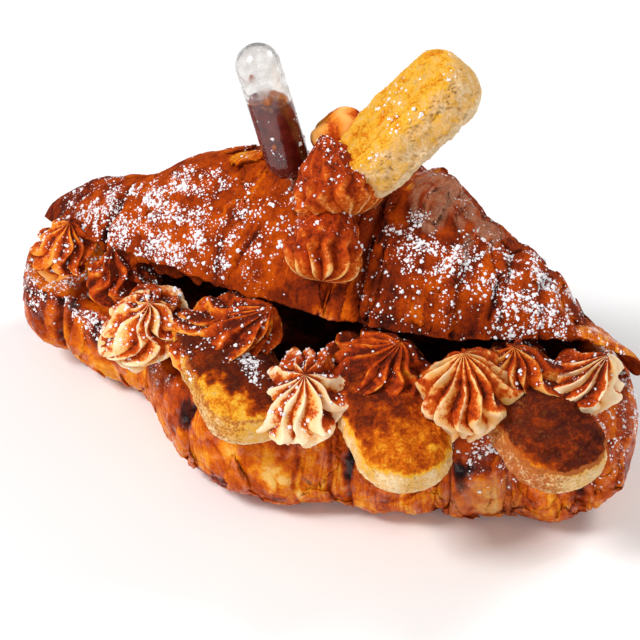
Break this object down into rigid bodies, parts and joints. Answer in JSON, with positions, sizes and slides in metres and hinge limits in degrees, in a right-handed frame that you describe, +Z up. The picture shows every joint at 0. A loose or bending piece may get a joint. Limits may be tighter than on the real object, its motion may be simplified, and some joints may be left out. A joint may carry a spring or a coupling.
{
  "type": "filled croissant",
  "caption": "Large croissant split along its front, filled with ladyfinger biscuits and star-piped cream, with more cream, a biscuit and a small sauce pipette standing on its lid.",
  "frame": {"origin": "middle of the whole's footprint, on the surface that the croissant stands on", "axes": "+X along the pastry from its left horn to its right horn, +Y from the open front to the closed back, +Z up"},
  "size_m": [0.2076, 0.1076, 0.1269],
  "materials": {
    "crust": "flaky baked crust, glossy on the brown crests, dusted with powdered sugar",
    "cream": "soft satin piped cream with a dusting of cocoa",
    "sponge": "dry pitted sponge biscuit with sugar and cocoa on it",
    "clear_plastic": "clear, thin, glossy",
    "sauce": "glossy dark coffee sauce",
    "sugar": "white powdered sugar in lumps and grains"
  },
  "bodies": {
    "root": {"croissant_base": "crust", "croissant_lid": "crust", "biscuit_1": "sponge", "biscuit_2": "sponge", "biscuit_3": "sponge", "biscuit_top": "sponge", "cream_kiss_1": "cream", "cream_kiss_2": "cream", "cream_kiss_3": "cream", "cream_kiss_4": "cream", "cream_kiss_5": "cream", "cream_back_1": "cream", "cream_back_2": "cream", "cream_back_3": "cream", "cream_back_4": "cream", "cream_top": "cream", "pipette": "clear_plastic", "pipette_sauce": "sauce"}
  },
  "joints": []
}
